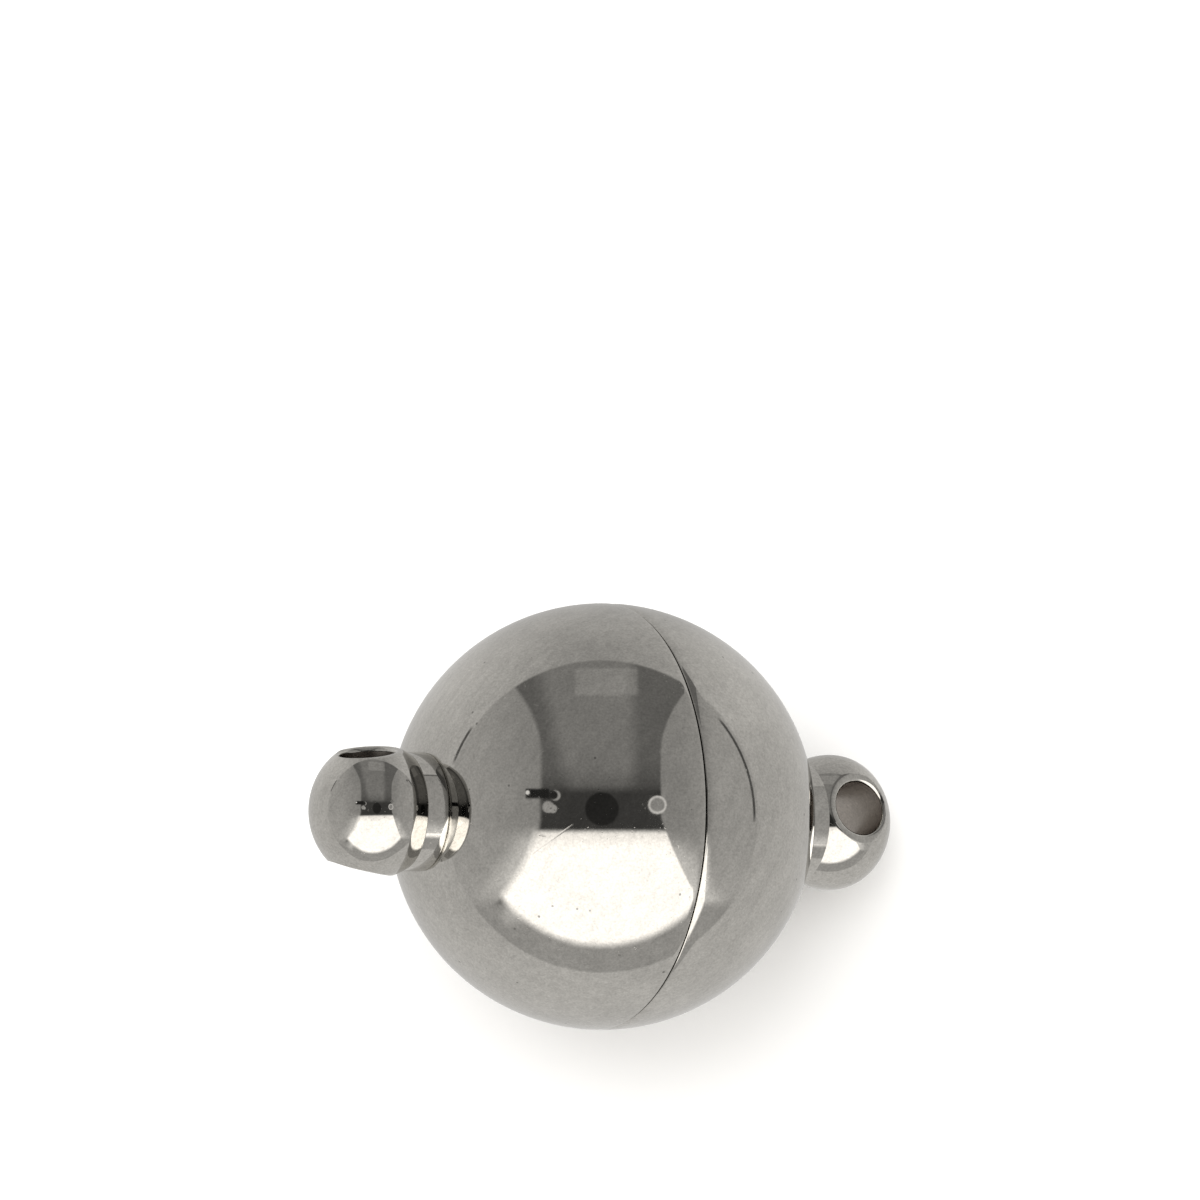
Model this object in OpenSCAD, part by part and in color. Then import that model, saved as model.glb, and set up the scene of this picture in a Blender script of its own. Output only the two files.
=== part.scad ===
// Magnetic ball clasp, closed, lying on a flat surface.
// Millimetres, +Z up. The origin is on the surface, straight under the ball's centre.
// The clasp's long axis lies in the XZ plane: the socket half is the low end, towards +X, and
// the plug half is the raised end, towards -X. Each half is drawn with its outer end along +Z
// and the middle of the seam at z = 0, and is then turned into place.

/* [Ball] */
// Radius of the closed ball
ball_r = 5; // [4.6:0.1:6.5]
// Gap between the two rims when the clasp is closed
seam_gap = 0.04; // [0.02:0.01:0.1]
// Rounding of each rim's outer edge
rim_round = 0.08; // [0.04:0.01:0.15]
// Bevel that breaks each inner edge round a magnet
edge_break = 0.05; // [0.02:0.01:0.1]

/* [Magnets] */
// Radius of each disc magnet
magnet_r = 3.38; // [2.6:0.02:3.6]
// Thickness of each disc magnet
magnet_t = 2; // [1.4:0.1:2.3]
// Bevel round the edges of each magnet
magnet_bevel = 0.12; // [0.05:0.01:0.3]
// Gap round each magnet in its pocket
magnet_clear = 0.12; // [0.05:0.01:0.2]
// Glue gap behind each magnet
glue_gap = 0.03; // [0.01:0.01:0.1]
// Gap between the two magnet faces when the clasp is closed
face_gap = 0.06; // [0.02:0.01:0.2]
// Width of the ledge that carries the plug's magnet
ledge_w = 0.4; // [0.25:0.05:0.8]
// Thickness of the ball's wall over the hollow behind the plug's magnet
hollow_wall = 0.6; // [0.4:0.05:1.2]

/* [Boss and recess] */
// How far the plug's boss stands past the middle of the seam
boss_h = 0.4; // [0.2:0.05:0.6]
// Width of the flat ring on the boss, beside the magnet
boss_land = 0.35; // [0.1:0.05:0.5]
// Rounding of the boss's outer edge
boss_round = 0.35; // [0.1:0.05:0.5]
// Clearance between the boss and the recess that it enters
recess_clear = 0.1; // [0.05:0.01:0.15]
// Width of the step round the recess
step_w = 0.14; // [0.05:0.01:0.25]
// Depth of the step round the recess, below its rim
step_d = 0.12; // [0.05:0.01:0.25]

/* [Eyes] */
// Radius of each end bead, across the clasp's axis
bead_r = 1.6; // [1.3:0.05:2]
// Distance of each bead's widest place from the ball's centre
bead_at = 6.15; // [5.8:0.05:7]
// How far the centre of the nose's shoulder curve lies off the axis
shoulder_in = 0.35; // [0.1:0.05:0.6]
// How much larger the nose's curve is than the bead's radius
nose_more = 0.13; // [0.05:0.01:0.4]
// Radius of the collar between each bead and the ball
collar_r = 1.39; // [1.1:0.01:1.5]
// Bevel round the foot of the collar
collar_bevel = 0.03; // [0.01:0.01:0.1]
// Width of the flat ring on the ball that shows round the collar's foot
seat_margin = 0.05; // [0.02:0.01:0.2]
// Gap between the collar's foot and its seat on the ball
seat_gap = 0.015; // [0.01:0.005:0.05]
// Radius of the stem that holds each eye in its cup
stem_r = 0.9; // [0.6:0.05:1.1]
// How deep the stem reaches below the top of the ball
stem_in = 1.1; // [0.8:0.05:2]
// Radial gap round the stem
stem_gap = 0.02; // [0.01:0.01:0.05]

/* [Cross holes] */
// Radius of the hole through each bead
hole_r = 0.64; // [0.4:0.02:0.7]
// How far the socket's hole lies past its bead's widest place, towards the nose
socket_hole_more = 0.08; // [0:0.01:0.3]
// How far the plug's hole lies past its bead's widest place, towards the nose
plug_hole_more = 0.22; // [0:0.01:0.3]
// Radius where the rounding of the hole's lip starts
lip_reach = 0.88; // [0.82:0.01:1]
// Radius of that rounding
lip_round = 0.24; // [0.15:0.01:0.3]
// Turn of the plug's hole about the clasp's axis, against the socket's hole
plug_hole_turn = 67; // [0:1:180]

/* [Hidden] */
$fn = 128;
// Overshoot of cutting shapes past the surface that they cut
past = 1;
// Centre of the rim's edge rounding, which touches the ball and the rim's flat face
rim_up = seam_gap / 2 + rim_round;
rim_in = sqrt(pow(ball_r - rim_round, 2) - pow(rim_up, 2));
// Pockets and bores
pocket_r = magnet_r + magnet_clear;
socket_face = boss_h + face_gap;
bore_depth = socket_face + magnet_t + glue_gap;
plug_seat = magnet_t + glue_gap - boss_h;
hollow_r = ball_r - hollow_wall;
boss_r = pocket_r + boss_land + boss_round;
recess_d = boss_h + recess_clear;
recess_r = boss_r + recess_clear;
// Where the collar's foot sits on the ball, and the eye's stem ends
seat_z = sqrt(pow(ball_r, 2) - pow(collar_r + seat_margin, 2));
foot_z = seat_z + seat_gap;
stem_end = ball_r - stem_in;
// The nose is two curves that run into each other
nose_r = bead_r + nose_more;
shoulder_r = bead_r - shoulder_in;
nose_back = sqrt(pow(nose_r - shoulder_r, 2) - pow(shoulder_in, 2));
// Centre of the lip's rounding, which runs into the bead, and the height of its inner edge
lip_out = lip_reach * (bead_r - lip_round) / bead_r;
lip_up = sqrt(pow(bead_r - lip_round, 2) - pow(lip_out, 2));
lip_edge = lip_up + sqrt(pow(lip_round, 2) - pow(lip_out - hole_r, 2));
// The clasp rests on the ball and on the low bead's shoulder, beside the mouth of its hole
tilt = asin((ball_r - shoulder_r) / norm([bead_at, shoulder_in])) - atan(shoulder_in / bead_at);

// Lays the clasp on the surface, with the plug half raised
module lying() {
    translate([0, 0, ball_r])
        rotate([0, tilt - 90, 0])
            children();
}

// The socket half faces the plug half
module facing() {
    mirror([0, 0, 1])
        children();
}

// Outline of a stepped disc with one rounded edge, from z = 0 up
module rounded_step(r, h, edge) {
    square([r - edge, h]);
    square([r, h - edge]);
    translate([r - edge, h - edge])
        circle(r = edge);
}

// Outline of half the ball, with its rim's outer edge rounded
module half_ball_outline() {
    outward = (ball_r + past) / (ball_r - rim_round);
    difference() {
        intersection() {
            circle(r = ball_r);
            translate([0, seam_gap / 2])
                square([ball_r, seat_z - seam_gap / 2]);
        }
        polygon([
            [rim_in, rim_up],
            [rim_in, -past],
            [ball_r + past, -past],
            [rim_in * outward, rim_up * outward]
        ]);
    }
    translate([rim_in, rim_up])
        circle(r = rim_round);
}

// Outline of a magnet's pocket, from its mouth to its floor, with the mouth's edge broken
module pocket_outline(mouth, floor_z) {
    translate([0, mouth - past])
        square([pocket_r, floor_z - mouth + past]);
    polygon([
        [0, mouth - past],
        [pocket_r + edge_break + past, mouth - past],
        [pocket_r, mouth + edge_break],
        [0, mouth + edge_break]
    ]);
}

// Outline of the hole that takes the eye's stem
module stem_hole_outline() {
    translate([0, stem_end - glue_gap])
        square([stem_r + stem_gap, stem_in + past]);
}

// Outline of the hollow behind the plug's magnet, with a round end
module hollow_outline() {
    intersection() {
        square([pocket_r - ledge_w, ball_r]);
        circle(r = hollow_r);
    }
}

module socket_cup_outline() {
    difference() {
        half_ball_outline();
        translate([0, -past])
            square([recess_r + step_w, seam_gap / 2 + step_d + past]);
        rounded_step(recess_r, recess_d, min(boss_round, boss_h) + recess_clear);
        pocket_outline(recess_d, bore_depth);
        stem_hole_outline();
    }
}

module plug_cup_outline() {
    difference() {
        union() {
            half_ball_outline();
            mirror([0, 1])
                rounded_step(boss_r, boss_h, min(boss_round, boss_h));
            square([boss_r, rim_up]);
        }
        pocket_outline(-boss_h, plug_seat);
        hollow_outline();
        stem_hole_outline();
    }
}

// Disc magnet with bevelled edges, from z = 0 up
module magnet() {
    rotate_extrude()
        polygon([
            [0, 0],
            [magnet_r - magnet_bevel, 0],
            [magnet_r, magnet_bevel],
            [magnet_r, magnet_t - magnet_bevel],
            [magnet_r - magnet_bevel, magnet_t],
            [0, magnet_t]
        ]);
}

// Outline of the bead: round towards the ball, and flatter at the nose
module bead_outline() {
    run = (shoulder_r + past) / (nose_r - shoulder_r);
    // Half towards the ball
    intersection() {
        circle(r = bead_r);
        translate([0, -bead_r])
            square([bead_r, bead_r]);
    }
    // Nose, up to where its curve runs into the shoulder
    intersection() {
        translate([0, -nose_back])
            circle(r = nose_r);
        polygon([
            [0, 0],
            [shoulder_in, 0],
            [shoulder_in * (1 + run), nose_back * run],
            [0, nose_r + past]
        ]);
    }
    // Shoulder
    intersection() {
        translate([shoulder_in, 0])
            circle(r = shoulder_r);
        square([bead_r, bead_r]);
    }
}

// Stem, collar and bead, turned in one piece
module eye_outline() {
    intersection() {
        union() {
            square([collar_r, bead_at]);
            translate([0, bead_at])
                bead_outline();
        }
        translate([0, foot_z])
            square([bead_r + past, 2 * bead_at]);
    }
}

// Cutter for the lip of a hole, along +Z from the bead's middle
module lip_cutter() {
    outward = (bead_r + past) / (bead_r - lip_round);
    rotate_extrude()
        difference() {
            polygon([
                [0, lip_up],
                [lip_out, lip_up],
                [lip_out * outward, lip_up * outward],
                [0, lip_up * outward]
            ]);
            translate([lip_out, lip_up])
                circle(r = lip_round);
        }
}

// One eye, with its hole turned about the axis and shifted towards the nose
module eye(turn, more) {
    difference() {
        union() {
            difference() {
                rotate_extrude()
                    eye_outline();
                rotate_extrude()
                    polygon([
                        [collar_r - collar_bevel, foot_z],
                        [collar_r + past, foot_z + collar_bevel + past],
                        [collar_r + past, foot_z - past],
                        [collar_r - collar_bevel, foot_z - past]
                    ]);
            }
            translate([0, 0, stem_end])
                cylinder(r = stem_r, h = bead_at - stem_end);
        }
        translate([0, 0, bead_at])
            rotate([0, 0, turn]) {
                translate([0, 0, more])
                    rotate([0, 90, 0])
                        cylinder(r = hole_r, h = 2 * (bead_r + past), center = true);
                // Each lip leans with the mouth that it goes round
                for (lean = [90, -90])
                    rotate([0, lean * (1 - atan(more / lip_edge) / 90), 0])
                        lip_cutter();
            }
    }
}

module socket_cup() {
    color("silver")
        lying()
            facing()
                rotate_extrude()
                    socket_cup_outline();
}

module socket_magnet() {
    color("tan")
        lying()
            facing()
                translate([0, 0, socket_face])
                    magnet();
}

module socket_eye() {
    color("gainsboro")
        lying()
            facing()
                eye(0, socket_hole_more);
}

module plug_cup() {
    color("silver")
        lying()
            rotate_extrude()
                plug_cup_outline();
}

module plug_magnet() {
    color("tan")
        lying()
            translate([0, 0, -boss_h])
                magnet();
}

module plug_eye() {
    color("gainsboro")
        lying()
            eye(plug_hole_turn, plug_hole_more);
}

socket_cup();
socket_magnet();
socket_eye();
plug_cup();
plug_magnet();
plug_eye();
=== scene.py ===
import math

import bmesh
import bpy
from mathutils import Matrix, Vector


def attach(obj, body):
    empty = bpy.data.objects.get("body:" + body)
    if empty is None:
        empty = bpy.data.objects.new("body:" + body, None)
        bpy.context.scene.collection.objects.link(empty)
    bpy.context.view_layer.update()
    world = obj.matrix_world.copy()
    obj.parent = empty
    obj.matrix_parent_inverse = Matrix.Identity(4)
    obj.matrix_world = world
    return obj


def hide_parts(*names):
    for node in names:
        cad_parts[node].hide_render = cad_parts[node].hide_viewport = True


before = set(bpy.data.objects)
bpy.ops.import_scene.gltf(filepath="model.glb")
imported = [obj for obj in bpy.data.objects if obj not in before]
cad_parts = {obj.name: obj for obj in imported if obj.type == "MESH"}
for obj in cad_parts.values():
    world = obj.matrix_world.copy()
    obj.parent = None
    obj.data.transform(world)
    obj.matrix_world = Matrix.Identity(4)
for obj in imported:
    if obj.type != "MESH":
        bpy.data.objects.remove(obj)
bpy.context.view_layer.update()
print("packed clasp loaded:", ", ".join(sorted(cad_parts)))

# Lengths are in millimetres, as in the drawing, and turn into metres through mm
mm = 0.001
sharpDeg = 24  # edges sharper than this stay crisp
samePoint = 1e-5  # points of an outline that lie closer are one
onAxis = 1e-9  # a smaller radius is on the axis
ball = {
    "radius": 5.0,
    "tiltDeg": 34.2435,  # of the long axis, with the socket's bead down
}
ballCentre = Vector((0, 0, ball["radius"])) * mm
tilt = math.radians(ball["tiltDeg"])
towardSocket = Vector((math.cos(tilt), 0, -math.sin(tilt)))
acrossUp = Vector((math.sin(tilt), 0, math.cos(tilt)))  # square to the axis, upwards


def halfPlace(outward, sideSign):
    # Place of a half that is drawn with its outer end along +Z and the ball's centre at 0
    side = Vector((0, sideSign, 0))
    turn = Matrix((acrossUp, side, outward)).transposed().to_4x4()
    return Matrix.Translation(ballCentre) @ turn @ Matrix.Scale(mm, 4)


socketPlace = halfPlace(towardSocket, -1)
plugPlace = halfPlace(-towardSocket, 1)


# Small helpers for outlines, meshes and nodes
def arc(centre, radius, startDeg, endDeg, steps):
    made = []
    for i in range(steps + 1):
        a = math.radians(startDeg + (endDeg - startDeg) * i / steps)
        made.append((centre[0] + radius * math.cos(a), centre[1] + radius * math.sin(a)))
    return made


def tidyOutline(points):
    kept = []
    for p in points:
        if not kept or math.dist(p, kept[-1]) > samePoint:
            kept.append(p)
    if math.dist(kept[0], kept[-1]) < samePoint:
        kept.pop()
    return kept


def lathe(name, outline, steps, closed):
    # Turns an outline of (radius, height) points about +Z. An open outline starts and ends on the axis
    outline = tidyOutline(outline)
    bm = bmesh.new()
    rings = []
    for r, z in outline:
        if r < onAxis:
            rings.append([bm.verts.new((0, 0, z))] * steps)
            continue
        ring = []
        for k in range(steps):
            around = 2 * math.pi * k / steps
            ring.append(bm.verts.new((r * math.cos(around), r * math.sin(around), z)))
        rings.append(ring)
    last = len(rings) if closed else len(rings) - 1
    for i in range(last):
        a, b = rings[i], rings[(i + 1) % len(rings)]
        for k in range(steps):
            n = (k + 1) % steps
            corners = []
            for v in (a[k], a[n], b[n], b[k]):
                if v not in corners:
                    corners.append(v)
            bm.faces.new(corners)
    bmesh.ops.recalc_face_normals(bm, faces=bm.faces)
    mesh = bpy.data.meshes.new(name)
    bm.to_mesh(mesh)
    bm.free()
    mesh.shade_smooth()
    mesh.set_sharp_from_angle(angle=math.radians(sharpDeg))
    return mesh


def newPiece(name, mesh, place, body, node):
    mesh.transform(place)
    piece = bpy.data.objects.new(name, mesh)
    bpy.context.scene.collection.objects.link(piece)
    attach(piece, body)
    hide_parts(node)
    return piece


def newMaterial(name):
    material = bpy.data.materials.new(name)
    material.use_nodes = True
    tree = material.node_tree
    return material, tree, tree.nodes["Principled BSDF"]


def link(tree, value, socket):
    if isinstance(value, bpy.types.NodeSocket):
        tree.links.new(value, socket)
    else:
        socket.default_value = value


def calc(tree, operation, *parts):
    node = tree.nodes.new("ShaderNodeMath")
    node.operation = operation
    for part, socket in zip(parts, node.inputs):
        link(tree, part, socket)
    return node.outputs[0]


def vectorCalc(tree, operation, *parts):
    node = tree.nodes.new("ShaderNodeVectorMath")
    node.operation = operation
    for part, socket in zip(parts, node.inputs):
        link(tree, part, socket)
    return node.outputs["Value" if operation in ("DOT_PRODUCT", "LENGTH") else "Vector"]


def fade(tree, value, start, end):
    # 0 at start and 1 at end, smoothly
    node = tree.nodes.new("ShaderNodeMapRange")
    node.interpolation_type = "SMOOTHSTEP"
    link(tree, value, node.inputs["Value"])
    flip = end < start
    low, high = (end, start) if flip else (start, end)
    node.inputs["From Min"].default_value = low
    node.inputs["From Max"].default_value = high
    node.inputs["To Min"].default_value = 1.0 if flip else 0.0
    node.inputs["To Max"].default_value = 0.0 if flip else 1.0
    return node.outputs["Result"]


def mix(tree, factor, a, b):
    node = tree.nodes.new("ShaderNodeMix")
    node.data_type = "FLOAT"
    link(tree, factor, node.inputs[0])
    link(tree, a, node.inputs[2])
    link(tree, b, node.inputs[3])
    return node.outputs[0]


def times(tree, first, *others):
    for other in others:
        first = calc(tree, "MULTIPLY", first, other)
    return first


def plus(tree, base, part, amount):
    # The base and so much of the part
    return calc(tree, "MULTIPLY_ADD", part, amount, base)


def swing(tree, height, amount):
    # From 1 - amount to 1 + amount, as the height goes from 0 to 1
    return plus(tree, 1 - amount, height, 2 * amount)


def dimmed(tree, value, mask, share):
    # The value, less this share of it where the mask is 1
    return calc(tree, "MULTIPLY", value, plus(tree, 1.0, mask, -share))


def within(tree, value, low, high, soft):
    # 1 between low and high, with soft ends
    rising = fade(tree, value, low - soft, low + soft)
    return times(tree, rising, fade(tree, value, high + soft, high - soft))


# Camera, at the photograph's angle to the clasp
viewShape = {
    "leanDeg": 29.0,  # of the clasp's axis out of the picture's plane
    "turnDeg": 16.0,  # of the whole view about the clasp's axis
    "rollDeg": 1.5,  # the raised end sits a little higher in the picture
    "distance": 300.0,
    "sensor": 36,
    "clip": (0.01, 20),  # nearest and farthest, in metres
    "frameWidth": 28.13,  # width of the picture at the ball's centre
    "ballRight": 0.047,  # of the ball's centre, from the picture's middle
    "ballBelow": 5.075,
}


def makeCamera(shape):
    lean, turn, roll = (math.radians(shape[k]) for k in ("leanDeg", "turnDeg", "rollDeg"))
    beside = math.cos(turn) * acrossUp - math.sin(turn) * Vector((0, 1, 0))
    toCamera = (math.cos(lean) * beside - math.sin(lean) * towardSocket).normalized()
    level = (towardSocket - towardSocket.dot(toCamera) * toCamera).normalized()
    right = Matrix.Rotation(roll, 3, toCamera) @ level
    up = toCamera.cross(right)
    place = ballCentre + shape["distance"] * mm * toCamera
    aim = ballCentre + (shape["ballBelow"] * up - shape["ballRight"] * right) * mm
    back = (place - aim).normalized()
    side = (right - right.dot(back) * back).normalized()
    data = bpy.data.cameras.new("photoCamera")
    data.sensor_width = shape["sensor"]
    data.lens = shape["sensor"] * shape["distance"] / shape["frameWidth"]
    data.clip_start, data.clip_end = shape["clip"]
    camera = bpy.data.objects.new("photoCamera", data)
    bpy.context.scene.collection.objects.link(camera)
    turned = Matrix((side, back.cross(side), back)).transposed().to_4x4()
    camera.matrix_world = Matrix.Translation(place) @ turned
    bpy.context.scene.camera = camera
    return toCamera, right, up


toCamera, viewRight, viewUp = makeCamera(viewShape)
print("camera ready, towards", [round(x, 3) for x in toCamera])

# Cups
cup = {
    "steps": 288,
    "seamGap": 0.04,
    "rimRound": 0.028,
    "rimSteps": 10,
    "recessSteps": 16,
    "bossSteps": 14,
    "hollowSteps": 24,
    # Steps of the outline over the buffed edge and over the rest of the ball
    "fineDeg": 0.2,
    "coarseDeg": 1.0,
    "seatR": 1.44,  # flat ring that carries the collar
    "stemHoleR": 0.92,
    "stemHoleFloor": 3.87,
    "pocketR": 3.5,
    "edgeBreak": 0.05,
    "recessR": 4.3,
    "recessDepth": 0.5,
    "recessRound": 0.45,
    "stepR": 4.44,
    "stepUp": 0.14,
    "socketPocketFloor": 2.49,
    "bossR": 4.2,
    "bossHeight": 0.4,
    "bossRound": 0.35,
    "plugPocketFloor": 1.63,
    "hollowR": 3.1,
    "hollowBall": 4.4,
    "skin": 0.12,  # faces that lie deeper than this have the inner finish
    # The polishing wheel has rounded each rim over this width, by this angle at its edge
    "socketBuff": (0.26, 13.0),
    "plugBuff": (0.12, 6.0),
}


def outerOutline(shape, buff):
    # From the rim's flat face over its rounded edge and the ball to the collar's seat
    radius, edge = ball["radius"], shape["rimRound"]
    up = shape["seamGap"] / 2 + edge
    inward = math.sqrt((radius - edge) ** 2 - up**2)
    start = math.degrees(math.atan2(up, inward))
    end = math.degrees(math.acos(shape["seatR"] / radius))
    width, angleDeg = buff
    points = arc((inward, up), edge, -90, start, shape["rimSteps"])[:-1]
    angle = start
    span = math.degrees(width / radius)
    dropped = math.radians(angleDeg) * width / 3
    while angle < end - shape["fineDeg"]:
        away = max(0.0, 1 - (angle - start) / span)
        sunk = dropped * away**3  # which has the buff's angle at the rim
        a = math.radians(angle)
        points.append(((radius - sunk) * math.cos(a), (radius - sunk) * math.sin(a)))
        angle += shape["fineDeg"] if away > 0 else shape["coarseDeg"]
    points.append((shape["seatR"], math.sqrt(radius**2 - shape["seatR"] ** 2)))
    for i in range(shape["rimSteps"]):
        points[i] = (points[i][0] - dropped, points[i][1])
    return points


def socketCupOutline(shape):
    seat = math.sqrt(ball["radius"] ** 2 - shape["seatR"] ** 2)
    turnR, depth, edge = shape["recessR"], shape["recessDepth"], shape["recessRound"]
    pocket, floor, chip = shape["pocketR"], shape["socketPocketFloor"], shape["edgeBreak"]
    stem, stemFloor = shape["stemHoleR"], shape["stemHoleFloor"]
    centre = (turnR - edge, depth - edge)
    startDeg = math.degrees(math.asin((shape["stepUp"] - centre[1]) / edge))
    points = [(0, floor), (pocket, floor), (pocket, depth + chip), (pocket + chip, depth)]
    points += arc(centre, edge, 90, startDeg, shape["recessSteps"])
    points += [(shape["stepR"], shape["stepUp"]), (shape["stepR"], shape["seamGap"] / 2)]
    points += outerOutline(shape, shape["socketBuff"])
    points += [(stem, seat), (stem, stemFloor), (0, stemFloor)]
    return points


def plugCupOutline(shape):
    seat = math.sqrt(ball["radius"] ** 2 - shape["seatR"] ** 2)
    low, edge = -shape["bossHeight"], shape["bossRound"]
    pocket, floor, chip = shape["pocketR"], shape["plugPocketFloor"], shape["edgeBreak"]
    hollow, dome, stem = shape["hollowR"], shape["hollowBall"], shape["stemHoleR"]
    startDeg = math.degrees(math.acos(hollow / dome))
    endDeg = math.degrees(math.acos(stem / dome))
    points = [(hollow, floor), (pocket, floor), (pocket, low + chip), (pocket + chip, low)]
    points += arc((shape["bossR"] - edge, low + edge), edge, -90, 0, shape["bossSteps"])
    points += [(shape["bossR"], shape["seamGap"] / 2)]
    points += outerOutline(shape, shape["plugBuff"])
    points += [(stem, seat)]
    points += arc((0, 0), dome, endDeg, startDeg, shape["hollowSteps"])
    return points


socketCup = newPiece(
    "socketCup",
    lathe("socketCup", socketCupOutline(cup), cup["steps"], False),
    socketPlace,
    "socket_half",
    "socket_cup",
)
plugCup = newPiece(
    "plugCup",
    lathe("plugCup", plugCupOutline(cup), cup["steps"], True),
    plugPlace,
    "plug_half",
    "plug_cup",
)
print("cups turned:", len(socketCup.data.polygons), "and", len(plugCup.data.polygons), "faces")

# Magnets
magnet = {
    "steps": 192,
    "radius": 3.38,
    "thick": 2.0,
    "edge": 0.12,
    "edgeSteps": 6,
    "socketFace": 0.46,  # how far its face lies inside the socket
    "plugFace": -0.4,  # flush with the boss
}


def magnetOutline(shape, face):
    r, edge, top = shape["radius"], shape["edge"], face + shape["thick"]
    points = [(0, face), (r / 2, face)]  # with a ring halfway, so that its triangles stay short
    points += arc((r - edge, face + edge), edge, -90, 0, shape["edgeSteps"])
    points += arc((r - edge, top - edge), edge, 0, 90, shape["edgeSteps"])
    return points + [(0, top)]


socketMagnet = newPiece(
    "socketMagnet",
    lathe("socketMagnet", magnetOutline(magnet, magnet["socketFace"]), magnet["steps"], False),
    socketPlace,
    "socket_half",
    "socket_magnet",
)
plugMagnet = newPiece(
    "plugMagnet",
    lathe("plugMagnet", magnetOutline(magnet, magnet["plugFace"]), magnet["steps"], False),
    plugPlace,
    "plug_half",
    "plug_magnet",
)
print("magnets made")

# Eyes
eye = {
    "steps": 224,
    "beadR": 1.6,
    "beadAt": 6.15,
    "shoulderIn": 0.35,
    "noseMore": 0.13,
    "collarR": 1.39,
    "footRound": 0.05,
    "footZ": 4.7935,
    "stemR": 0.9,
    "stemEnd": 3.9,
    "holeR": 0.64,
    "lipReach": 0.88,
    "lipRound": 0.24,
    "lipInside": 0.105,  # rounding from the lip into the bore
    # Steps of each curve
    "footSteps": 6,
    "beadSteps": 18,
    "shoulderSteps": 28,
    "noseSteps": 28,
    "lipSteps": 20,
    "lipInsideSteps": 12,
    "cutSteps": 160,
    "cutPast": 1.0,  # how far the cutters reach past the bead
    # Each hole's turn about the clasp's axis, and how far it lies past the bead's widest place
    "socketHole": (0.0, 0.08),
    "plugHole": (67.0, 0.22),
}


def eyeCircles(shape):
    # Radii of the nose and the shoulder, height of the nose's centre, and the angle where they meet
    nose = shape["beadR"] + shape["noseMore"]
    shoulder = shape["beadR"] - shape["shoulderIn"]
    back = math.sqrt((nose - shoulder) ** 2 - shape["shoulderIn"] ** 2)
    meetDeg = math.degrees(math.atan2(back, shape["shoulderIn"]))
    return nose, shoulder, shape["beadAt"] - back, meetDeg


def eyeOutline(shape):
    nose, shoulder, noseZ, meetDeg = eyeCircles(shape)
    collar, foot, edge, at = shape["collarR"], shape["footZ"], shape["footRound"], shape["beadAt"]
    backDeg = -math.degrees(math.acos(collar / shape["beadR"]))
    points = [(0, shape["stemEnd"]), (shape["stemR"], shape["stemEnd"]), (shape["stemR"], foot)]
    points += arc((collar - edge, foot + edge), edge, -90, 0, shape["footSteps"])
    points += arc((0, at), shape["beadR"], backDeg, 0, shape["beadSteps"])
    points += arc((shape["shoulderIn"], at), shoulder, 0, meetDeg, shape["shoulderSteps"])
    points += arc((0, noseZ), nose, meetDeg, 90, shape["noseSteps"])
    points[-1] = (0, points[-1][1])
    return points


def lipCircles(shape):
    # Centres of the lip's rounding and of the smaller one inside it, and the height of the lip's inner edge
    reach = shape["lipReach"] * (shape["beadR"] - shape["lipRound"]) / shape["beadR"]
    up = math.sqrt((shape["beadR"] - shape["lipRound"]) ** 2 - reach**2)
    inner = shape["holeR"] + shape["lipInside"]
    high = up + math.sqrt((shape["lipRound"] - shape["lipInside"]) ** 2 - (inner - reach) ** 2)
    edge = up + math.sqrt(shape["lipRound"] ** 2 - (reach - shape["holeR"]) ** 2)
    return (reach, up), (inner, high), edge


def lipOutline(shape):
    # Outline of the cutter that rounds a hole's mouth, about the hole's axis
    outer, inner = lipCircles(shape)[:2]
    out = (shape["beadR"] + shape["cutPast"]) / (shape["beadR"] - shape["lipRound"])
    joinDeg = math.degrees(math.atan2(inner[1] - outer[1], inner[0] - outer[0]))
    beadDeg = math.degrees(math.atan2(outer[1], outer[0]))
    points = [(0, inner[1])]
    points += arc(inner, shape["lipInside"], 180, joinDeg, shape["lipInsideSteps"])
    points += arc(outer, shape["lipRound"], joinDeg, beadDeg, shape["lipSteps"])
    return points + [(outer[0] * out, outer[1] * out), (0, outer[1] * out)]


def cutWith(piece, cutter):
    modifier = piece.modifiers.new("cut", "BOOLEAN")
    modifier.operation, modifier.solver, modifier.object = "DIFFERENCE", "EXACT", cutter
    bpy.context.view_layer.update()
    cut = bpy.data.meshes.new_from_object(piece.evaluated_get(bpy.context.evaluated_depsgraph_get()))
    piece.modifiers.clear()
    piece.data = cut


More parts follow.
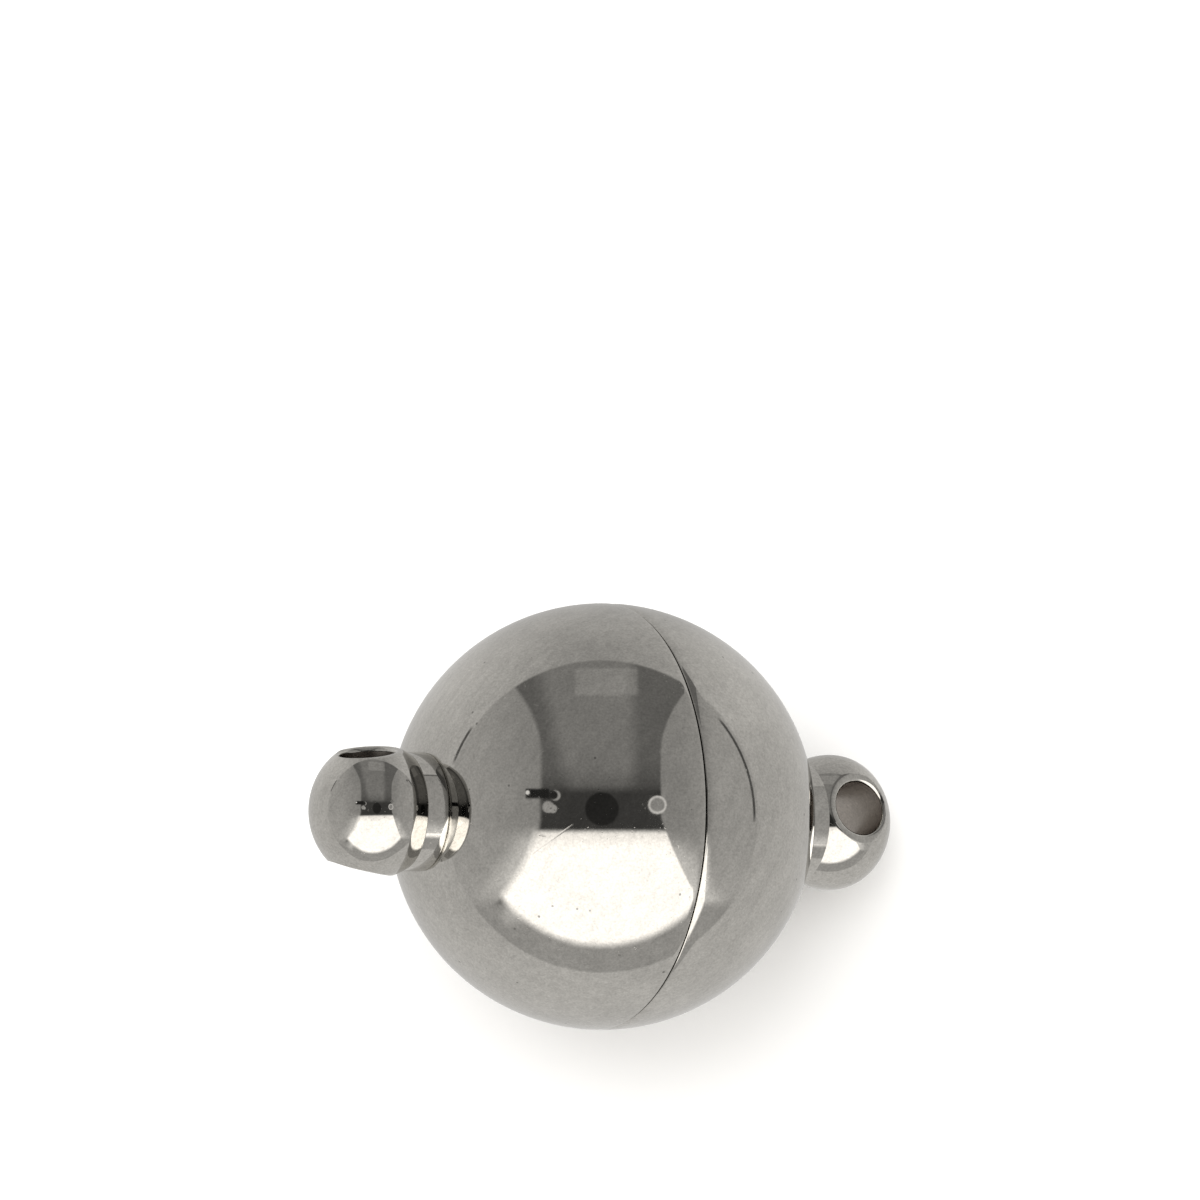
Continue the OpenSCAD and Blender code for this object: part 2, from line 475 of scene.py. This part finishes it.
def exactNormals(mesh, shape, turnDeg, more):
    # Sets each corner's normal from the true curve that its face lies on, and marks the bore's faces
    noseZ, meetDeg = eyeCircles(shape)[2:]
    outer, inner, edge = lipCircles(shape)
    joinRad = math.atan2(inner[1] - outer[1], inner[0] - outer[0])
    at, beadR, collar, holeR = shape["beadAt"], shape["beadR"], shape["collarR"], shape["holeR"]
    foot, footEdge = shape["footZ"], shape["footRound"]
    slack, boreNear, lipNear = 1e-4, 4e-3, 6e-3  # how far a face's middle may lie from its curve
    boreLean = 0.05  # and how far a face of the bore may lean, as a sine
    lipStart = math.atan2(outer[1], outer[0]) - slack
    turn = Matrix.Rotation(math.radians(turnDeg), 3, "Z")
    hole = Vector((0, 0, at + more))
    along = turn @ Vector((1, 0, 0))
    leanRad = math.atan(more / edge)
    lips = []
    for sign in (1, -1):
        lips.append((turn @ Vector((sign * math.cos(leanRad), 0, math.sin(leanRad)))).normalized())
    backZ = at - math.sqrt(beadR**2 - collar**2)

    def ofTurned(p):
        flat = Vector((p.x, p.y, 0))
        r = flat.length
        out = flat / r if r > onAxis else Vector((0, 0, 0))
        if p.z < at:
            return (p - Vector((0, 0, at))).normalized()
        if math.degrees(math.atan2(p.z - noseZ, r)) > meetDeg:
            return (p - Vector((0, 0, noseZ))).normalized()
        return (p - Vector((0, 0, at)) - shape["shoulderIn"] * out).normalized()

    def ofBore(p):
        off = p - hole
        return -(off - off.dot(along) * along).normalized()

    def ofLip(p, axis, centre):
        off = p - Vector((0, 0, at))
        high = off.dot(axis)
        flat = off - high * axis
        return (flat - centre[0] * flat.normalized() + (high - centre[1]) * axis).normalized()

    def ofFoot(p):
        out = Vector((p.x, p.y, 0)).normalized()
        centre = (collar - footEdge) * out + Vector((0, 0, foot + footEdge))
        return (p - centre).normalized()

    def kindOf(face):
        # The word for the curve that a face lies on, or a lip's axis and the centre of its rounding
        c = face.center
        if c.z < foot + slack:
            return "flat"
        if c.z < foot + footEdge:
            return "foot"
        if c.z < backZ - slack:
            return "wall"
        off = c - hole
        radial = (off - off.dot(along) * along).length
        if abs(face.normal.dot(along)) < boreLean and abs(radial - holeR) < boreNear:
            return "bore"
        kind = "turned"
        if c.z <= backZ:
            return kind
        for axis in lips:
            rel = c - Vector((0, 0, at))
            high = rel.dot(axis)
            out = (rel - high * axis).length
            # The lip ends where its curve runs into the bead
            if high < outer[1] / 2 or math.atan2(high, out) < lipStart:
                continue
            inside = math.atan2(high - outer[1], out - outer[0]) > joinRad
            centre, radius = (inner, shape["lipInside"]) if inside else (outer, shape["lipRound"])
            if abs(math.hypot(out - centre[0], high - centre[1]) - radius) < lipNear:
                kind = (axis, centre)
        return kind

    def normalAt(p, face, kind):
        if kind == "flat":
            return face.normal.copy()
        if kind == "foot":
            return ofFoot(p)
        if kind == "wall":
            return Vector((p.x, p.y, 0)).normalized()
        if kind == "bore":
            return ofBore(p)
        if kind == "turned":
            return ofTurned(p)
        return ofLip(p, *kind)

    normals = [None] * len(mesh.loops)
    for face in mesh.polygons:
        kind = kindOf(face)
        face.use_smooth = True
        face.material_index = 1 if kind == "bore" else 0
        for i in face.loop_indices:
            normals[i] = normalAt(mesh.vertices[mesh.loops[i].vertex_index].co, face, kind)
    mesh.normals_split_custom_set(normals)


def makeEye(name, place, hole, body, node, shape):
    turnDeg, more = hole
    mesh = lathe(name, eyeOutline(shape), shape["steps"], False)
    piece = bpy.data.objects.new(name, mesh)
    bpy.context.scene.collection.objects.link(piece)
    leanDeg = math.degrees(math.atan(more / lipCircles(shape)[2]))
    turn = Matrix.Rotation(math.radians(turnDeg), 4, "Z")
    lift = Matrix.Translation((0, 0, shape["beadAt"]))
    holeR, far = shape["holeR"], shape["beadR"] + shape["cutPast"]
    bore = lathe("bore", [(0, -far), (holeR, -far), (holeR, far), (0, far)], shape["cutSteps"], False)
    lying = Matrix.Rotation(math.radians(90), 4, "Y")
    bore.transform(lift @ turn @ Matrix.Translation((0, 0, more)) @ lying)
    cutters = [bore]
    for sign in (1, -1):
        lip = lathe("lip", lipOutline(shape), shape["cutSteps"], False)
        lip.transform(lift @ turn @ Matrix.Rotation(sign * math.radians(90 - leanDeg), 4, "Y"))
        cutters.append(lip)
    for cutterMesh in cutters:
        cutter = bpy.data.objects.new("cutter", cutterMesh)
        bpy.context.scene.collection.objects.link(cutter)
        cutWith(piece, cutter)
        bpy.data.objects.remove(cutter)
    made = piece.data
    bpy.data.objects.remove(piece)
    made.name = name
    exactNormals(made, shape, turnDeg, more)
    return newPiece(name, made, place, body, node)


socketEye = makeEye("socketEye", socketPlace, eye["socketHole"], "socket_half", "socket_eye", eye)
plugEye = makeEye("plugEye", plugPlace, eye["plugHole"], "plug_half", "plug_eye", eye)
print("eyes made:", len(socketEye.data.polygons), "and", len(plugEye.data.polygons), "faces")

# Steel, with the small marks of wear that the photograph shows. Depths are in mm
# Each noise is its scale and its detail
layerShare = 0.55  # how much each finer layer of a noise counts
steelLook = {
    "polished": {"color": (0.615, 0.600, 0.565), "roughness": 0.028, "grainDepth": 0.00012},
    "turned": {"color": (0.60, 0.585, 0.55), "roughness": 0.09, "grainDepth": 0.00012},
    # Bores of the eyes: a rougher drilled finish, and a darker colour that is painted shade inside the
    # holes
    "shadedBore": {"color": (0.42, 0.385, 0.35), "roughness": 0.30, "grainDepth": 0.0002},
    # Unevenness of the color: its share, its noise's scale and detail, and a wipe's stretch and turn
    "grain": (0.17, 11.0, 3.0),
    "mottle": (0.16, 0.8, 4.0),
    "wipe": (0.16, 1.0, 3.0, (0.8, 5.0, 5.0), (15, 20, -50)),
    "stipple": (0.24, 20.0, 1.0),
    "haze": 0.035,  # how much rougher the hazy patches are
    "hazeNoise": (0.8, 3.0),
    "hazeFade": (0.46, 0.74),
    "waveDepth": 0.0012,  # of the ball's slight unevenness
    "waveNoise": (0.6, 2.0),
    # Fine scratches in three directions: stretch, turn and how high the noise is where they show
    "hairs": (
        ((0.30, 9.0, 9.0), (10, 35, 20), 0.715),
        ((0.25, 11.0, 11.0), (70, -20, 65), 0.725),
        ((0.40, 13.0, 13.0), (-40, 60, -35), 0.735),
    ),
    "hairNoise": (1.0, 1.5),
    "hairFade": 0.035,
    "hairDepth": 0.00045,
    "hairDark": 0.05,
    "hairDull": 0.10,
    # One clearer scratch: its ends as they show in the ball, in ball radii from its middle
    "scratchEnds": ((-0.328, -0.176), (-0.117, -0.026)),
    "scratchHalf": (0.024, 0.010),  # half its width, with and without its soft edge
    "scratchTaper": 0.15,
    "scratchNear": (0.80, 0.88),  # keeps it on its own side of the ball, in ball radii
    "pits": 0.065,  # size of the small dark pits
    "pitCore": 0.6,  # share of it that is fully dark
    "pitsPerMm": 1.6,
    "pitDark": 0.5,
    "pitDull": 0.2,
    "ringPitch": 0.07,  # spacing of the tool's rings inside the cups
    "ringWobble": 1.5,
    "ringNoise": (1.2, 2.0),
    "ringDepth": 0.00015,
}


def scaled(tree, vector, factor):
    node = tree.nodes.new("ShaderNodeVectorMath")
    node.operation = "SCALE"
    tree.links.new(vector, node.inputs[0])
    node.inputs["Scale"].default_value = factor
    return node.outputs["Vector"]


def noise(tree, vector, scale, detail, stretch=None, spin=None):
    if stretch is not None:
        mapping = tree.nodes.new("ShaderNodeMapping")
        tree.links.new(vector, mapping.inputs["Vector"])
        mapping.inputs["Rotation"].default_value = [math.radians(a) for a in spin]
        turned = mapping.outputs["Vector"]
        mapping = tree.nodes.new("ShaderNodeMapping")
        tree.links.new(turned, mapping.inputs["Vector"])
        mapping.inputs["Scale"].default_value = stretch
        vector = mapping.outputs["Vector"]
    node = tree.nodes.new("ShaderNodeTexNoise")
    node.inputs["Scale"].default_value = scale
    node.inputs["Detail"].default_value = detail
    node.inputs["Roughness"].default_value = layerShare
    tree.links.new(vector, node.inputs["Vector"])
    return node.outputs["Fac"]


def tinted(tree, color, factor):
    node = tree.nodes.new("ShaderNodeVectorMath")
    node.operation = "SCALE"
    node.inputs[0].default_value = color
    tree.links.new(factor, node.inputs["Scale"])
    return node.outputs["Vector"]


def bump(tree, height, depth, after=None):
    node = tree.nodes.new("ShaderNodeBump")
    node.inputs["Strength"].default_value = 1.0
    node.inputs["Distance"].default_value = depth
    tree.links.new(height, node.inputs["Height"])
    if after is not None:
        tree.links.new(after, node.inputs["Normal"])
    return node.outputs["Normal"]


def onBall(u, v):
    return (math.sqrt(1 - u * u - v * v) * toCamera + u * viewRight + v * viewUp) * ball["radius"]


def dots(tree, place, perMm, size, core):
    # 1 in small round dots and 0 between them
    cells = tree.nodes.new("ShaderNodeTexVoronoi")
    cells.inputs["Scale"].default_value = perMm
    tree.links.new(place, cells.inputs["Vector"])
    return fade(tree, cells.outputs["Distance"], size, size * core)


def fineScratches(tree, place, look):
    made = 0.0
    for stretch, spin, low in look["hairs"]:
        height = noise(tree, place, *look["hairNoise"], stretch, spin)
        made = calc(tree, "MAXIMUM", made, fade(tree, height, low, low + look["hairFade"]))
    return made


def clearScratch(tree, place, look):
    # Lies in the plane through its ends and the ball's centre, on the photograph's side
    first, second = (onBall(*end) for end in look["scratchEnds"])
    along = (second - first).normalized()
    across = first.cross(second).normalized()
    offset = vectorCalc(tree, "SUBTRACT", place, ballCentre / mm)
    off = calc(tree, "ABSOLUTE", vectorCalc(tree, "DOT_PRODUCT", offset, across))
    far = vectorCalc(tree, "DOT_PRODUCT", offset, along)
    near = vectorCalc(tree, "DOT_PRODUCT", offset, (first + second).normalized())
    start, end, taper = first.dot(along), second.dot(along), look["scratchTaper"]
    front = [share * ball["radius"] for share in look["scratchNear"]]
    return times(
        tree,
        fade(tree, off, *look["scratchHalf"]),
        fade(tree, far, start, start + taper),
        fade(tree, far, end, end - taper),
        fade(tree, near, *front),
    )


def toolRings(tree, place, look):
    # Rings about the clasp's axis
    offset = vectorCalc(tree, "SUBTRACT", place, ballCentre / mm)
    out = vectorCalc(tree, "LENGTH", vectorCalc(tree, "CROSS_PRODUCT", offset, towardSocket))
    wobble = calc(tree, "MULTIPLY", noise(tree, place, *look["ringNoise"]), look["ringWobble"])
    return calc(tree, "SINE", plus(tree, wobble, out, 2 * math.pi / look["ringPitch"]))


def makeSteel(name, look, finish):
    material, tree, shader = newMaterial(name)
    own = look[finish]
    coordinates = tree.nodes.new("ShaderNodeTexCoord")
    place = scaled(tree, coordinates.outputs["Object"], 1 / mm)
    hairs = fineScratches(tree, place, look)
    if finish == "polished":
        hairs = calc(tree, "MAXIMUM", hairs, clearScratch(tree, place, look))
    pits = dots(tree, place, look["pitsPerMm"], look["pits"], look["pitCore"])
    factor = 1.0
    for share, *kind in (look["grain"], look["mottle"], look["wipe"], look["stipple"]):
        factor = times(tree, factor, swing(tree, noise(tree, place, *kind), share))
    factor = dimmed(tree, factor, pits, look["pitDark"])
    factor = dimmed(tree, factor, hairs, look["hairDark"])
    tree.links.new(tinted(tree, own["color"], factor), shader.inputs["Base Color"])
    haze = fade(tree, noise(tree, place, *look["hazeNoise"]), *look["hazeFade"])
    rough = plus(tree, own["roughness"], haze, look["haze"])
    rough = plus(tree, rough, hairs, look["hairDull"])
    rough = plus(tree, rough, pits, look["pitDull"])
    tree.links.new(rough, shader.inputs["Roughness"])
    shader.inputs["Metallic"].default_value = 1.0
    normal = bump(tree, noise(tree, place, *look["waveNoise"]), look["waveDepth"] * mm)
    normal = bump(tree, calc(tree, "ADD", hairs, pits), -look["hairDepth"] * mm, normal)
    normal = bump(tree, noise(tree, place, *look["grain"][1:]), own["grainDepth"] * mm, normal)
    if finish == "turned":
        normal = bump(tree, toolRings(tree, place, look), look["ringDepth"] * mm, normal)
    tree.links.new(normal, shader.inputs["Normal"])
    return material


polishedSteel = makeSteel("polishedSteel", steelLook, "polished")
turnedSteel = makeSteel("turnedSteel", steelLook, "turned")
# Steel for the bores, darkened as painted shade inside the holes
shadedBoreSteel = makeSteel("shadedBoreSteel", steelLook, "shadedBore")

# Magnets' matt nickel. Depths are in mm
nickelLook = {
    "color": (0.56, 0.52, 0.46),
    "roughness": 0.29,
    "patchy": 0.06,
    "patchNoise": (0.7, 4.0),
    "patchDull": 0.14,
    "grain": 0.06,
    "grainNoise": (16.0, 4.0),
    "grainDepth": 0.0010,
    "rubNoise": (1.0, 2.0, (0.5, 7.0, 7.0), (25, 15, 50)),  # with its stretch and turn
    "rubFade": (0.60, 0.70),
    "rubbedDull": -0.08,  # where it is rubbed it shines a little more
    "nicks": 0.05,
    "nickCore": 0.5,
    "nicksPerMm": 1.2,
    "nickDark": 0.5,
    "nickDepth": 0.0008,
}


def makeNickel(name, look):
    material, tree, shader = newMaterial(name)
    coordinates = tree.nodes.new("ShaderNodeTexCoord")
    place = scaled(tree, coordinates.outputs["Object"], 1 / mm)
    patches = noise(tree, place, *look["patchNoise"])
    grain = noise(tree, place, *look["grainNoise"])
    nicks = dots(tree, place, look["nicksPerMm"], look["nicks"], look["nickCore"])
    rubbed = fade(tree, noise(tree, place, *look["rubNoise"]), *look["rubFade"])
    factor = times(tree, swing(tree, patches, look["patchy"]), swing(tree, grain, look["grain"]))
    factor = dimmed(tree, factor, nicks, look["nickDark"])
    tree.links.new(tinted(tree, look["color"], factor), shader.inputs["Base Color"])
    rough = plus(tree, look["roughness"], patches, look["patchDull"])
    rough = plus(tree, rough, rubbed, look["rubbedDull"])
    tree.links.new(rough, shader.inputs["Roughness"])
    shader.inputs["Metallic"].default_value = 1.0
    normal = bump(tree, grain, look["grainDepth"] * mm)
    normal = bump(tree, calc(tree, "ADD", nicks, rubbed), -look["nickDepth"] * mm, normal)
    tree.links.new(normal, shader.inputs["Normal"])
    return material


mattNickel = makeNickel("mattNickel", nickelLook)
for cupPiece in (socketCup, plugCup):
    cupPiece.data.materials.clear()
    cupPiece.data.materials.append(polishedSteel)
    cupPiece.data.materials.append(turnedSteel)
    for face in cupPiece.data.polygons:
        inside = (face.center - ballCentre).length < (ball["radius"] - cup["skin"]) * mm
        face.material_index = 1 if inside else 0
for eyePiece in (socketEye, plugEye):
    chosen = [face.material_index for face in eyePiece.data.polygons]
    eyePiece.data.materials.clear()
    eyePiece.data.materials.append(polishedSteel)
    # the bore's faces get the darker steel, painted shade inside the holes
    eyePiece.data.materials.append(shadedBoreSteel)
    for face, index in zip(eyePiece.data.polygons, chosen):
        face.material_index = index
for magnetPiece in (socketMagnet, plugMagnet):
    magnetPiece.data.materials.clear()
    magnetPiece.data.materials.append(mattNickel)
print("finishes made")

# Studio: a light tent that only shows in the steel, and a pale floor
# Places are as they show in the ball, in ball radii. Pairs are where a fade starts and ends
tent = {
    "plain": 1.30,  # what lights the floor
    "color": (1.0, 0.985, 0.965, 1),
    # Side edges of the back wall: where they stand, and how they bow out high up, low down and lower still
    "left": {"at": 0.285, "high": 1.25, "low": 0.13, "lower": 0.95, "edge": (-0.012, 0.016)},
    "right": {"at": 0.274, "high": 1.35, "low": 0.35, "lower": 0.27, "edge": (-0.006, 0.008)},
    "bowFrom": 0.29,
    # Side walls, lighter outwards, low down and beside the lamp
    "wall": {"tone": 0.33, "outMore": 0.12, "outFade": (0.28, 0.60), "lowMore": 0.22},
    "glow": {
        "more": 0.42,
        "left": (-0.17, 0.0),
        "leftTop": (-0.02, -0.14),
        "leftFoot": (-0.43, -0.25),
        "right": (-0.15, 0.0),
        "rightTop": (-0.05, -0.2),
        "across": (-0.02, 0.02),  # from the left one to the right one
    },
    # Back wall, lighter in its leaning middle, with a lighter panel, and darker towards the band
    "back": {"tone": 0.165, "foot": (-0.02, 0.0), "dark": 0.62, "darkFade": (0.10, 0.27)},
    "middle": {"more": 0.10, "at": 0.10, "lean": 0.24, "left": (-0.28, -0.17), "right": (0.19, 0.10)},
    "panel": {"more": 0.085, "sides": (-0.125, 0.165), "ends": (0.565, 0.690), "soft": 0.010},
    "band": {"tone": 0.060, "top": (0.155, 0.10)},
    "lens": {"at": (0.0, 0.035), "radius": 0.078, "tone": 0.026, "soft": 0.006},
    "bar": {"tone": 0.022, "sides": (-0.356, -0.245), "ends": (0.084, 0.130), "soft": 0.006},
    # Small lights in the band and at the bar's end: place, radius and tone
    "lights": (
        ((0.258, 0.054), 0.043, 0.80),
        ((0.258, 0.054), 0.033, 0.34),
        ((-0.217, 0.098), 0.024, 0.45),
        ((-0.226, 0.100), 0.021, 0.03),
        ((-0.250, 0.044), 0.027, 0.42),
        ((-0.228, 0.036), 0.020, 0.46),
        ((-0.346, 0.112), 0.009, 1.1),
    ),
    "lightSoft": 0.004,
    # Skirt round the lamp's foot, and the lamp's glow in its left corner
    "skirt": {"tone": 0.43, "top": (-0.37, -0.43), "rim": (0.576, 0.618)},
    "cornerGlow": {"at": (-0.418, -0.462), "radius": 0.030, "tone": 0.78, "soft": 0.050},
    # Lamp below, a little dimmer at its top
    "lamp": {
        "tone": 1.80,
        "topShare": 0.72,
        "topFade": (-0.06, -0.17),
        "color": (1.0, 0.968, 0.935, 1),
        "left": (-0.040, 0.024),
        "right": (-0.006, 0.008),
        "top": (-0.053, -0.085),
        "rim": (0.624, 0.576),
    },
    # Table round it all, from the tent's rim to far out, with what its top and its foot add to it
    "table": {
        "rim": (0.721, 0.733),
        "fade": (0.74, 0.97),
        "footShift": 0.06,
        "nearest": 0.1,  # keeps the middle of the ball out of a division by 0
        "near": {"tone": 0.53, "top": -0.13, "foot": 0.09},
        "far": {"tone": 0.61, "top": -0.10, "foot": 0.03},
        "corners": 1.6,
    },
    # Thin dark lines where parts of the tent's edge show: how far out, and their ends
    "lines": (
        {"out": 0.710, "side": (0.50, 0.55), "foot": (-0.05, 0.02), "top": (0.47, 0.43)},
        {"out": 0.735, "side": (-0.50, -0.55), "foot": (0.23, 0.28), "top": (0.43, 0.39)},
    ),
    "lineHalf": (0.0075, 0.0030),
    "lineDark": 0.8,
    "again": {"depth": 1.5, "power": 1.5, "gain": 1.12},  # more contrast where steel shows in steel
}


def whereItShows(tree):
    # Where each direction shows in the ball from the photograph's side: to the right, and up
    coordinates = tree.nodes.new("ShaderNodeTexCoord")
    direction = vectorCalc(tree, "NORMALIZE", coordinates.outputs["Generated"])
    facing = vectorCalc(tree, "NORMALIZE", vectorCalc(tree, "ADD", direction, toCamera))
    u = vectorCalc(tree, "DOT_PRODUCT", facing, viewRight)
    v = vectorCalc(tree, "DOT_PRODUCT", facing, viewUp)
    return u, v


def reach(tree, du, dv):
    return calc(tree, "SQRT", calc(tree, "ADD", times(tree, du, du), times(tree, dv, dv)))


def roundSpot(tree, u, v, centre, radius, soft):
    away = reach(tree, calc(tree, "SUBTRACT", u, centre[0]), calc(tree, "SUBTRACT", v, centre[1]))
    return fade(tree, away, radius + soft, radius - soft)


def boxSpot(tree, u, v, box):
    sides = within(tree, u, *box["sides"], box["soft"])
    return times(tree, sides, within(tree, v, *box["ends"], box["soft"]))


def wallEdge(tree, edge, above, below):
    at = plus(tree, edge["at"], times(tree, above, above), edge["high"])
    at = plus(tree, at, below, edge["low"])
    return plus(tree, at, times(tree, below, below), edge["lower"])


def wallTone(tree, shape, u, v, below, pastLeft, pastRight):
    wall, glow = shape["wall"], shape["glow"]
    outwards = fade(tree, calc(tree, "ABSOLUTE", u), *wall["outFade"])
    tone = plus(tree, wall["tone"], outwards, wall["outMore"])
    tone = plus(tree, tone, below, wall["lowMore"])
    left = times(
        tree,
        fade(tree, pastLeft, *glow["left"]),
        fade(tree, v, *glow["leftTop"]),
        fade(tree, v, *glow["leftFoot"]),
    )
    right = times(tree, fade(tree, pastRight, *glow["right"]), fade(tree, v, *glow["rightTop"]))
    return plus(tree, tone, mix(tree, fade(tree, u, *glow["across"]), left, right), glow["more"])


def backTone(tree, shape, u, v):
    back, middle, panel = shape["back"], shape["middle"], shape["panel"]
    leaning = plus(tree, calc(tree, "SUBTRACT", u, middle["at"]), v, middle["lean"])
    light = times(tree, fade(tree, leaning, *middle["left"]), fade(tree, u, *middle["right"]))
    tone = plus(tree, back["tone"], light, middle["more"])
    tone = plus(tree, tone, boxSpot(tree, u, v, panel), panel["more"])
    return times(tree, tone, mix(tree, fade(tree, v, *back["darkFade"]), back["dark"], 1.0))


def withBand(tree, shape, tone, u, v, between):
    # The band in front of the back wall's foot, with what shows in it
    band, lens, bar = shape["band"], shape["lens"], shape["bar"]
    tone = mix(tree, times(tree, between, fade(tree, v, *band["top"])), tone, band["tone"])
    tone = mix(tree, roundSpot(tree, u, v, lens["at"], lens["radius"], lens["soft"]), tone, lens["tone"])
    tone = mix(tree, boxSpot(tree, u, v, bar), tone, bar["tone"])
    for centre, radius, level in shape["lights"]:
        tone = mix(tree, roundSpot(tree, u, v, centre, radius, shape["lightSoft"]), tone, level)
    return tone


def withSkirt(tree, shape, tone, u, v, rho):
    skirt, glow = shape["skirt"], shape["cornerGlow"]
    mask = times(tree, fade(tree, v, *skirt["top"]), fade(tree, rho, *skirt["rim"]))
    tone = mix(tree, mask, tone, skirt["tone"])
    return mix(tree, roundSpot(tree, u, v, glow["at"], glow["radius"], glow["soft"]), tone, glow["tone"])


def withTable(tree, shape, tone, v, rho):
    table = shape["table"]
    upward = calc(tree, "DIVIDE", v, calc(tree, "MAXIMUM", rho, table["nearest"]))
    high = calc(tree, "MAXIMUM", upward, 0.0)
    low = calc(tree, "MAXIMUM", calc(tree, "MULTIPLY", upward, -1.0), 0.0)
    square = times(tree, high, high)
    near = plus(tree, table["near"]["tone"], times(tree, square, high), table["near"]["top"])
    near = plus(tree, near, low, table["near"]["foot"])
    far = plus(tree, table["far"]["tone"], square, table["far"]["top"])
    far = plus(tree, far, low, table["far"]["foot"])
    outer = mix(tree, fade(tree, plus(tree, rho, low, table["footShift"]), *table["fade"]), near, far)
    slanted = times(tree, square, calc(tree, "SUBTRACT", 1.0, square))
    outer = plus(tree, outer, times(tree, slanted, slanted), table["corners"])
    return mix(tree, fade(tree, rho, *table["rim"]), tone, outer)


def withLines(tree, shape, tone, u, v, rho):
    for line in shape["lines"]:
        off = calc(tree, "ABSOLUTE", calc(tree, "SUBTRACT", rho, line["out"]))
        mask = times(
            tree,
            fade(tree, off, *shape["lineHalf"]),
            fade(tree, u, *line["side"]),
            fade(tree, v, *line["foot"]),
            fade(tree, v, *line["top"]),
        )
        tone = dimmed(tree, tone, mask, shape["lineDark"])
    return tone


def makeWorld(shape):
    world = bpy.data.worlds.new("lightTent")
    bpy.context.scene.world = world
    world.use_nodes = True
    tree = world.node_tree
    tree.nodes.clear()
    u, v = whereItShows(tree)
    rho = reach(tree, u, v)
    below = calc(tree, "MAXIMUM", calc(tree, "MULTIPLY", v, -1.0), 0.0)
    above = calc(tree, "MAXIMUM", calc(tree, "SUBTRACT", v, shape["bowFrom"]), 0.0)
    left, right = shape["left"], shape["right"]
    pastLeft = calc(tree, "ADD", u, wallEdge(tree, left, above, below))
    pastRight = calc(tree, "SUBTRACT", wallEdge(tree, right, above, below), u)
    between = times(tree, fade(tree, pastLeft, *left["edge"]), fade(tree, pastRight, *right["edge"]))
    wall = wallTone(tree, shape, u, v, below, pastLeft, pastRight)
    backWall = times(tree, between, fade(tree, v, *shape["back"]["foot"]))
    tone = mix(tree, backWall, wall, backTone(tree, shape, u, v))
    tone = withBand(tree, shape, tone, u, v, between)
    tone = withSkirt(tree, shape, tone, u, v, rho)
    lamp = shape["lamp"]
    lit = times(
        tree,
        fade(tree, pastLeft, *lamp["left"]),
        fade(tree, pastRight, *lamp["right"]),
        fade(tree, v, *lamp["top"]),
        fade(tree, rho, *lamp["rim"]),
    )
    bright = mix(tree, fade(tree, v, *lamp["topFade"]), lamp["tone"] * lamp["topShare"], lamp["tone"])
    tone = mix(tree, lit, tone, bright)
    tone = withTable(tree, shape, tone, v, rho)
    tone = withLines(tree, shape, tone, u, v, rho)
    light = tree.nodes.new("ShaderNodeLightPath")
    again = calc(tree, "GREATER_THAN", light.outputs["Glossy Depth"], shape["again"]["depth"])
    power = calc(tree, "POWER", tone, shape["again"]["power"])
    tone = mix(tree, again, tone, calc(tree, "MULTIPLY", power, shape["again"]["gain"]))
    # The tent shows in the steel, and all else is lit plainly
    inSteel = light.outputs["Is Glossy Ray"]
    colors = tree.nodes.new("ShaderNodeMix")
    colors.data_type = "RGBA"
    tree.links.new(times(tree, lit, inSteel), colors.inputs[0])
    colors.inputs[6].default_value = shape["color"]
    colors.inputs[7].default_value = lamp["color"]
    background = tree.nodes.new("ShaderNodeBackground")
    tree.links.new(colors.outputs[2], background.inputs["Color"])
    tree.links.new(mix(tree, inSteel, shape["plain"], tone), background.inputs["Strength"])
    output = tree.nodes.new("ShaderNodeOutputWorld")
    tree.links.new(background.outputs[0], output.inputs["Surface"])
    world.cycles.sampling_method = "NONE"  # rays meet the tent by themselves


makeWorld(tent)

# Floor
floorLook = {
    "radius": 3.0,  # in metres
    "steps": 96,
    "color": (0.93, 0.93, 0.925, 1),
    "roughness": 0.9,
    "specular": 0.1,
}


def makeFloor(name, look):
    bm = bmesh.new()
    bmesh.ops.create_circle(bm, cap_ends=True, segments=look["steps"], radius=look["radius"])
    mesh = bpy.data.meshes.new(name)
    bm.to_mesh(mesh)
    bm.free()
    made = bpy.data.objects.new(name, mesh)
    bpy.context.scene.collection.objects.link(made)
    paper, _, shader = newMaterial(name + "Paper")
    shader.inputs["Base Color"].default_value = look["color"]
    shader.inputs["Roughness"].default_value = look["roughness"]
    shader.inputs["Specular IOR Level"].default_value = look["specular"]
    mesh.materials.append(paper)
    made.visible_glossy = False  # the steel shows the tent's table instead


makeFloor("paleFloor", floorLook)

# Soft lamp above, for the shadow on the floor. Its place and size are in metres
topLamp = {
    "place": (-0.06, 0.10, 0.30),
    "size": 0.30,
    "power": 0.35,
}


def makeLamp(name, look):
    data = bpy.data.lights.new(name, "AREA")
    data.shape, data.size, data.energy = "DISK", look["size"], look["power"]
    lamp = bpy.data.objects.new(name, data)
    bpy.context.scene.collection.objects.link(lamp)
    lamp.location = look["place"]
    lamp.rotation_mode = "QUATERNION"
    lamp.rotation_quaternion = (Vector(look["place"]) - ballCentre).to_track_quat("Z", "Y")
    lamp.visible_glossy = lamp.visible_camera = False


makeLamp("softTop", topLamp)
bpy.context.scene.view_settings.view_transform = "Standard"
print("studio ready")
